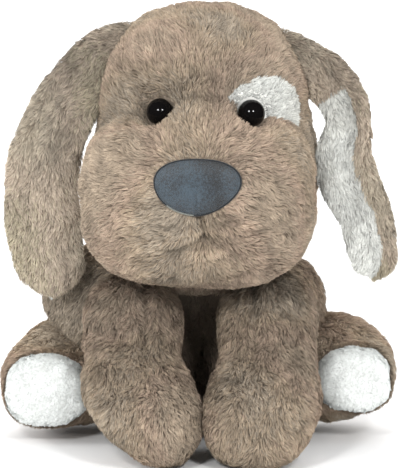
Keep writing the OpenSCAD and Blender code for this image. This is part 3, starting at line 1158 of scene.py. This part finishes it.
def nose_surface(puff, shrink=1.0, rings=18, around=96):
    """Points and triangles of a padded form in the nose's outline."""
    angle = circle(around)
    edge = nose_radius(angle) * shrink
    rows = []
    for r in np.sin(np.linspace(0, math.pi / 2, rings + 1))[1:]:
        ring = nose_ring(angle, r * edge)
        low = np.clip((NOSE_AT[2] + 3 - ring[:, 2]) / 6, 0, 1)
        rise = puff * (1 - r**3.2) ** 0.55 - NOSE_SEAM * bell(ring[:, 0] - NOSE_AT[0], 0.9) * low
        ring[:, 1] -= 0.8 + rise
        rows.append(ring)
    rows.append(rows[-1] + [0, 3.0, 0])
    middle = [NOSE_AT[0], rows[0][:, 1].mean() - 0.1, NOSE_AT[2]]
    back = [NOSE_AT[0], rows[-1][:, 1].mean(), NOSE_AT[2]]
    points = from_head(np.vstack(rows + [middle, back]))
    return points, facing_out(points, tube_faces(len(rows), around))


def nose_piping():
    """The edge of the nose: a dark stitched line above, a pale turned edge below."""
    angle = circle(PIPING_RINGS)
    line = nose_ring(angle, nose_radius(angle) - 0.2) - [0, 1.6, 0]
    along = unit(np.roll(line, -1, axis=0) - np.roll(line, 1, axis=0))
    out = unit(np.cross(along, np.array([0.0, 1.0, 0.0])))
    front = np.cross(out, along)
    spin = circle(PIPING_AROUND)[None, :, None]
    ring = line[:, None] + PIPING_R * (out[:, None] * np.cos(spin) + front[:, None] * np.sin(spin))
    faces = tube_faces(PIPING_RINGS, PIPING_AROUND, looped=True)
    piping = solid_piece("nose_piping", from_head(ring.reshape(-1, 3)), faces, seam_thread, turned_edge)
    degrees = np.degrees(angle[faces[:, 0] // PIPING_AROUND])
    turned = (degrees > TURNED_EDGE[0]) & (degrees < TURNED_EDGE[1])
    piping.data.polygons.foreach_set("material_index", turned.astype(np.int32))
    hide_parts("nose_cover")
    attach(piping, "head")


def pad_nose():
    """The nose's velour and the wad inside it."""
    nose = solid_piece("nose_velour", *nose_surface(NOSE_PUFF), nose_cloth)
    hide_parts("nose_cover")
    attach(nose, "head")
    wad = solid_piece("nose_wad", *nose_surface(NOSE_PUFF - WAD_SUNK, WAD_SHRINK, 8, 48), filling)
    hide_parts("nose_filling")
    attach(wad, "head")


def dress_eyes():
    """The eyes keep their CAD form and are given gloss; so do their washers, in plain plastic."""
    gloss = principled("eye_gloss", Base_Color=(0.004, 0.0035, 0.0035, 1), Roughness=0.06, IOR=1.33)
    plastic = principled("washer_plastic", Base_Color=(0.75, 0.75, 0.72, 1), Roughness=0.4)
    for side in SIDES:
        for kind, material in (("eye", gloss), ("eye_washer", plastic)):
            mesh = bpy.data.objects[f"{kind}_{SIDE_NAME[side]}"].data
            mesh.materials.clear()
            mesh.materials.append(material)


nose_piping()
pad_nose()
dress_eyes()

# ---- stage, light and camera ----
# Places and sizes are in metres from here on.

FLOOR_HALF = 15.0
TOY_MIDDLE = (0.0, 0.0, 0.1269)  # what the camera looks at
LIT_HEIGHT = 0.13  # what the lamps look at
LAMP_RISE = 0.18
LAMP_FAR = 1.6
WORLD_STRENGTH = 0.75
CAMERA_RISE = math.radians(11)
CAMERA_FAR = 4.0
FACE_AHEAD = 0.05  # how far the face is in front of the toy's middle
SENSOR = 36.0  # mm
VIEW_HEIGHT = 0.2808  # what the camera takes in from top to bottom, at the face


def place_facing(name, data, place, aim):
    """A lamp or a camera, turned towards what it is aimed at."""
    holder = bpy.data.objects.new(name, data)
    holder.location = place
    holder.rotation_euler = (Vector(aim) - Vector(place)).to_track_quat("-Z", "Y").to_euler()
    bpy.context.scene.collection.objects.link(holder)
    return holder


def soft_light(name, place, size, power, mirrored=False, aim=(0, 0, LIT_HEIGHT)):
    """A round lamp. Only a mirrored one shows in the eyes."""
    lamp = bpy.data.lights.new(name, "AREA")
    lamp.shape = "DISK"
    lamp.size = size
    lamp.energy = power
    place_facing(name, lamp, place, aim).visible_glossy = mirrored


def lamp_place(azimuth, elevation):
    """Where a lamp stands: degrees to the toy's left of straight ahead, and degrees up."""
    a, e = math.radians(azimuth), math.radians(elevation)
    level = LAMP_FAR * math.cos(e)
    return (level * math.sin(a), -level * math.cos(a), LAMP_FAR * math.sin(e) + LAMP_RISE)


def light_scene():
    for azimuth in (-19, 19):
        soft_light("twin", lamp_place(azimuth, 26), 0.26, 12, mirrored=True)
    soft_light("left", lamp_place(-75, 20), 0.9, 14.5)
    soft_light("right", lamp_place(75, 20), 0.9, 7.5)
    soft_light("back", (0.0, 0.9, 1.4), 1.2, 6)
    soft_light("floor", (0.0, 2.6, 1.6), 3.0, 60, aim=(0.0, 2.6, 0.0))
    world = bpy.data.worlds.new("studio")
    world.use_nodes = True
    set_sockets(world.node_tree.nodes["Background"], {"Color": (1, 1, 1, 1), "Strength": WORLD_STRENGTH})
    world.cycles_visibility.glossy = False
    bpy.context.scene.world = world
    bpy.context.scene.view_settings.view_transform = "Standard"


def lay_floor():
    """A plain pale floor, wide enough to fill the view from every side."""
    points = np.array([(-1, -1, 0), (1, -1, 0), (1, 1, 0), (-1, 1, 0)]) * FLOOR_HALF / MM
    paper = principled("floor_paper", Base_Color=(0.9, 0.9, 0.9, 1), Roughness=0.9)
    floor = new_piece("floor", new_mesh("floor", points, [0, 1, 2, 3], [4]), [paper])
    floor.visible_glossy = False


def place_camera():
    back = Vector((0.0, -math.cos(CAMERA_RISE), math.sin(CAMERA_RISE)))
    data = bpy.data.cameras.new("camera")
    data.lens = SENSOR * (CAMERA_FAR - FACE_AHEAD) / VIEW_HEIGHT
    data.clip_end = 20
    place = Vector(TOY_MIDDLE) + back * CAMERA_FAR
    bpy.context.scene.camera = place_facing("camera", data, place, TOY_MIDDLE)


lay_floor()
light_scene()
place_camera()
